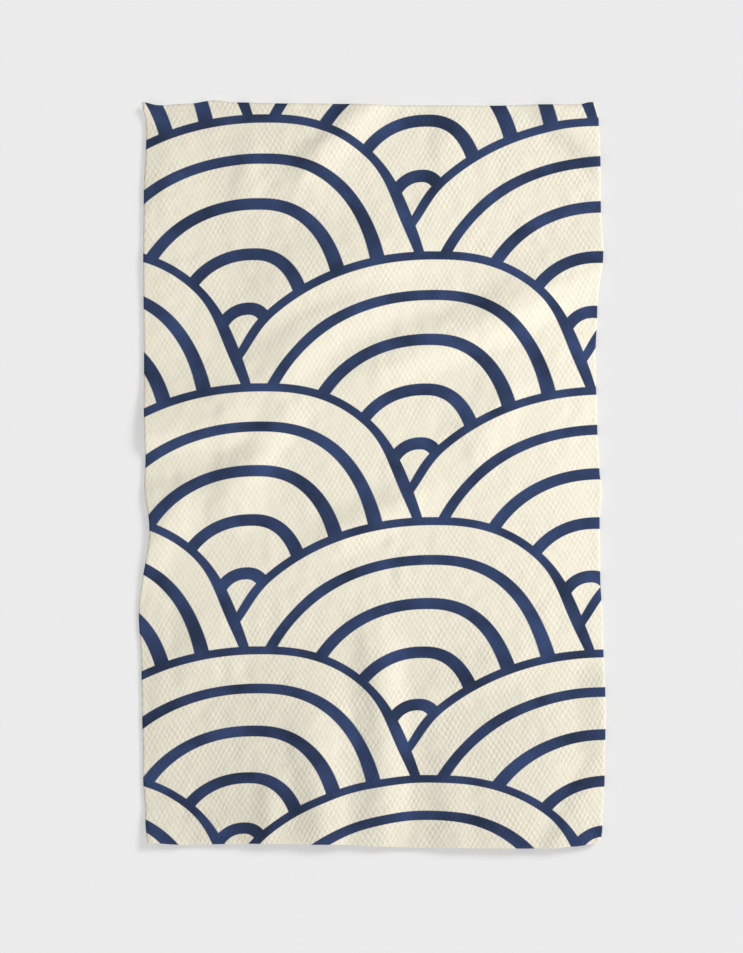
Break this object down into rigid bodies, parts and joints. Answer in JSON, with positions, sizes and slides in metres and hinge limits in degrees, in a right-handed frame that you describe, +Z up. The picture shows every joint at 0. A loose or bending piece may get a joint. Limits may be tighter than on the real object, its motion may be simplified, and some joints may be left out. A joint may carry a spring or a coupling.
{
  "type": "tea towel",
  "caption": "Printed cotton tea towel lying flat, with a narrow turned hem, an uneven outline and soft creases.",
  "frame": {"origin": "on the surface the towel lies on, under the middle of its box", "axes": "+X across the towel, +Y along it towards its top edge, +Z up from the surface it lies on"},
  "size_m": [0.466, 0.7466, 0.0109],
  "materials": {
    "cloth": "dull textured cotton in cream, with navy printed arches"
  },
  "bodies": {
    "root": {"towel": "cloth"}
  },
  "joints": []
}
